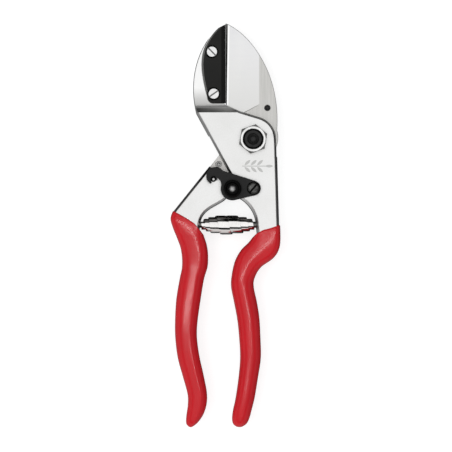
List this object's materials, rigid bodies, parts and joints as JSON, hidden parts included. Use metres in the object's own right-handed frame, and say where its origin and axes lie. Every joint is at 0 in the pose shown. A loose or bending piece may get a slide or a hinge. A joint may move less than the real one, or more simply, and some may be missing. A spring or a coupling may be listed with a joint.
{
  "type": "anvil pruner",
  "caption": "Hand pruner with a straight blade that closes on a replaceable anvil, sprung handles with dipped grips, and a thumb catch that locks it shut.",
  "frame": {"origin": "on the pivot axis, in the plane of the pivot bolt head's outer face, which the tool rests on", "axes": "+Y runs from the pivot to the blade's tip, +Z along the pivot axis from the bolt's head to its nut, +X to the blade's back"},
  "size_m": [0.0594, 0.2198, 0.0234],
  "materials": {
    "forged_alloy": "satin",
    "dipped_vinyl": "soft gloss",
    "black_steel": "matt",
    "bright_steel": "bright",
    "ground_steel": "ground",
    "dark_steel": "blackened",
    "bronze": "satin",
    "polished_strip": "polished",
    "black_lever": "matt"
  },
  "bodies": {
    "anvil_handle": {"anvil_handle": "forged_alloy", "right_grip": "dipped_vinyl", "anvil": "black_steel", "anvil_screws": "bright_steel", "pivot_bush": "bronze", "right_stud": "bright_steel", "spring": "polished_strip", "catch_screw": "dark_steel", "catch_washer": "bright_steel"},
    "blade_handle": {"blade_handle": "forged_alloy", "left_grip": "dipped_vinyl", "blade": "ground_steel", "blade_pin": "dark_steel", "blade_rivets": "ground_steel", "pivot_bolt": "dark_steel", "pivot_nut": "bright_steel", "lock_segment": "bright_steel", "segment_screw": "bright_steel", "left_stud": "bright_steel", "catch_pin": "bright_steel"},
    "thumb_catch": {"thumb_catch": "black_lever", "thumb_knob": "black_lever", "knob_rivet": "dark_steel"}
  },
  "joints": [
    {"name": "handle_open", "type": "hinge", "parent": "anvil_handle", "child": "blade_handle", "pos_m": [0, 0, 0], "axis": [0, 0, 1], "range_deg": [-30, 0], "deforming": ["spring"]},
    {"name": "catch_turn", "type": "hinge", "parent": "anvil_handle", "child": "thumb_catch", "pos_m": [0.0002, -0.0266, 0.0172], "axis": [0, 0, 1], "range_deg": [-25, 0]}
  ]
}
